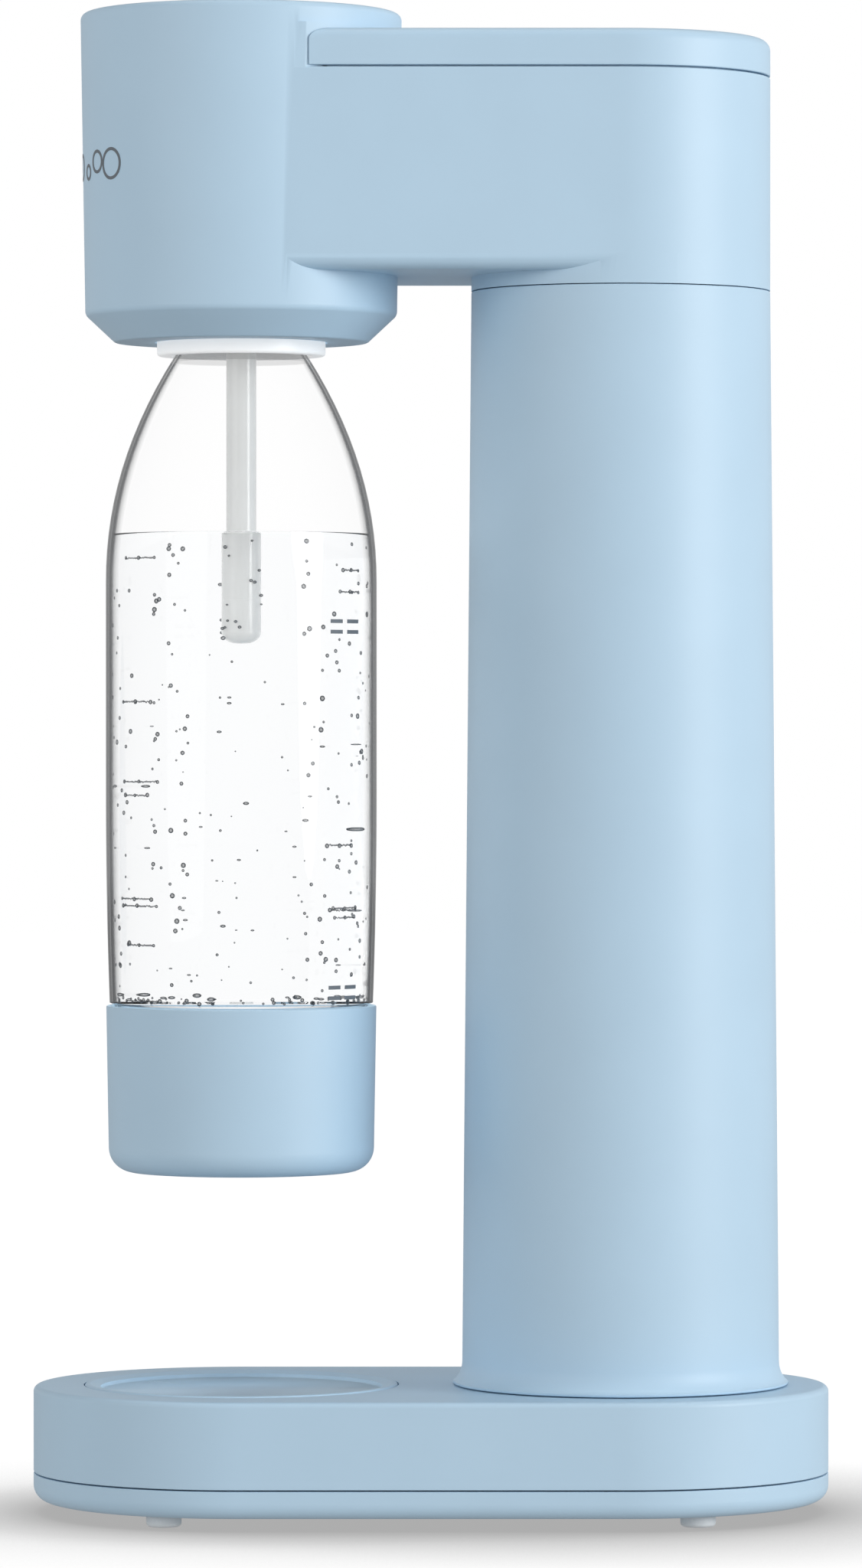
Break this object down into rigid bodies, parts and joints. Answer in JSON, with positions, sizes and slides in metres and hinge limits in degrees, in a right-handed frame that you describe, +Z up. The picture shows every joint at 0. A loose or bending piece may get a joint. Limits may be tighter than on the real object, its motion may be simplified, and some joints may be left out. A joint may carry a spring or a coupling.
{
  "type": "soda carbonator",
  "caption": "Hand-worked soda carbonator: a round column and arm on a long rounded base, with a press button, gas cylinder, clear bottle and drip tray.",
  "frame": {"origin": "centre of the base on the table", "axes": "+Z up; the bottle side faces -Y and the column side +Y; X = 0 is the plane of symmetry"},
  "size_m": [0.1194, 0.2284, 0.43],
  "materials": {
    "shell_blue": "satin, pale sky blue",
    "inner_grey": "plain grey moulding",
    "white_plastic": "smooth white",
    "milky_plastic": "translucent, milky",
    "clear_plastic": "clear PET, smooth",
    "rubber_dark": "soft, matt",
    "rubber_pale": "soft, pale",
    "steel": "bright",
    "brass": "turned",
    "aluminium": "satin"
  },
  "bodies": {
    "machine": {"base_housing": "shell_blue", "base_plate": "shell_blue", "base_screw_1": "steel", "base_screw_2": "steel", "base_screw_3": "steel", "base_screw_4": "steel", "bottle_seal": "rubber_dark", "bracket_screw_1": "steel", "bracket_screw_2": "steel", "button_guide": "white_plastic", "button_spring": "steel", "column_shell": "shell_blue", "foot_front_left": "rubber_pale", "foot_front_right": "rubber_pale", "foot_rear_left": "rubber_pale", "foot_rear_right": "rubber_pale", "frame_foot_screw_1": "steel", "frame_foot_screw_2": "steel", "frame_top_screw_1": "steel", "frame_top_screw_2": "steel", "frame_top_screw_3": "steel", "gas_head": "aluminium", "gas_head_screw_1": "steel", "gas_head_screw_2": "steel", "gas_head_seal": "rubber_dark", "gas_hose": "rubber_dark", "guide_screw_1": "steel", "guide_screw_2": "steel", "inlet_fitting": "brass", "inner_frame": "inner_grey", "lever_bracket": "inner_grey", "lever_pin": "steel", "mixing_head": "inner_grey", "mixing_head_screw_1": "steel", "mixing_head_screw_2": "steel", "mixing_head_screw_3": "steel", "nozzle_adapter": "milky_plastic", "nozzle_tip": "milky_plastic", "nozzle_tube": "milky_plastic", "outlet_fitting": "brass", "plunger_seal": "rubber_dark", "plunger_spring": "steel", "relief_body": "brass", "relief_cap": "brass", "relief_spring": "steel", "upper_housing": "shell_blue"},
    "tray": {"drip_tray": "shell_blue"},
    "lid": {"arm_lid": "shell_blue"},
    "button": {"press_button": "shell_blue"},
    "lever": {"lever": "steel"},
    "plunger": {"plunger": "steel"},
    "valve_pin": {"valve_pin": "steel"},
    "cylinder": {"gas_cylinder": "aluminium", "cylinder_valve": "brass"},
    "lock_ring": {"bottle_lock_ring": "white_plastic"},
    "bottle": {"bottle": "clear_plastic", "bottle_cup": "shell_blue"},
    "poppet": {"relief_poppet": "rubber_dark"}
  },
  "joints": [
    {"name": "button_press", "type": "slide", "parent": "machine", "child": "button", "axis": [0, 0, -1], "range_m": [0, 0.008], "stiffness_N_per_m": 900, "springref_m": -0.003, "deforming": ["button_spring"]},
    {"name": "lever_swing", "type": "hinge", "parent": "machine", "child": "lever", "pos_m": [0, 0.082, 0.39945], "axis": [1, 0, 0], "range_deg": [0, 3.4]},
    {"name": "plunger_push", "type": "slide", "parent": "machine", "child": "plunger", "axis": [0, 0, -1], "range_m": [0, 0.0018], "stiffness_N_per_m": 1500, "springref_m": -0.001, "deforming": ["plunger_spring"]},
    {"name": "cylinder_unscrew", "type": "hinge", "parent": "machine", "child": "cylinder", "pos_m": [0, 0.0545, 0.2], "axis": [0, 0, 1], "range_deg": [0, 1080]},
    {"name": "valve_pin_push", "type": "slide", "parent": "cylinder", "child": "valve_pin", "axis": [0, 0, -1], "range_m": [0, 0.0018], "stiffness_N_per_m": 1500, "springref_m": -0.001},
    {"name": "lid_lift", "type": "slide", "parent": "machine", "child": "lid", "axis": [0, 0, 1], "range_m": [0, 0.03]},
    {"name": "tray_lift", "type": "slide", "parent": "machine", "child": "tray", "axis": [0, 0, 1], "range_m": [0, 0.015]},
    {"name": "lock_ring_turn", "type": "hinge", "parent": "machine", "child": "lock_ring", "pos_m": [0, -0.0545, 0.338], "axis": [0, 0, 1], "range_deg": [0, 60]},
    {"name": "bottle_drop", "type": "slide", "parent": "lock_ring", "child": "bottle", "axis": [0, 0, -1], "range_m": [0, 0.045]},
    {"name": "relief_lift", "type": "slide", "parent": "machine", "child": "poppet", "axis": [0, 0, 1], "range_m": [0, 0.0015], "stiffness_N_per_m": 800, "springref_m": -0.001, "deforming": ["relief_spring"]}
  ],
  "couplings": [
    {"joint": "lever_swing", "follows": "button_press", "rad_per_m": 7.326},
    {"joint": "plunger_push", "follows": "button_press", "ratio": 0.2015},
    {"joint": "valve_pin_push", "follows": "button_press", "ratio": 0.2015}
  ]
}
